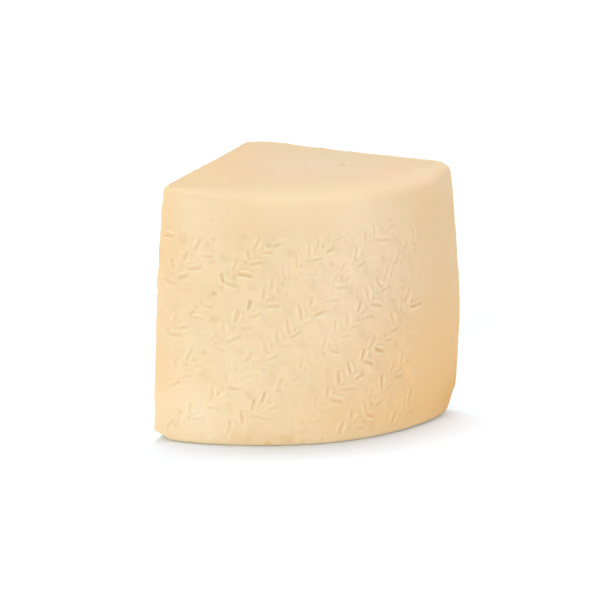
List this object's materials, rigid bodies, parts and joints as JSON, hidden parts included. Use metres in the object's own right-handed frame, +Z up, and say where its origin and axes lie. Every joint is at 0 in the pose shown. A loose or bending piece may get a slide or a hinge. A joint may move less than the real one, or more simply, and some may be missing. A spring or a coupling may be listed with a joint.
{
  "type": "pecorino cheese chunk",
  "caption": "Wedge-shaped chunk of hard pale sheep's milk cheese with a bulging pressed rind, a flat top with a rounded rim and upright cut faces; stands on its cut base.",
  "frame": {"origin": "middle of the cut base, under the middle of the bounding box", "axes": "+Z up out of the base, -Y out of the middle of the rind, +X along the chord of the rind, to the right as seen facing the rind"},
  "size_m": [0.214, 0.1466, 0.1684],
  "materials": {
    "cheese": "dry satin cream rind with paler granular cut faces"
  },
  "bodies": {
    "root": {"cheese_chunk": "cheese"}
  },
  "joints": []
}
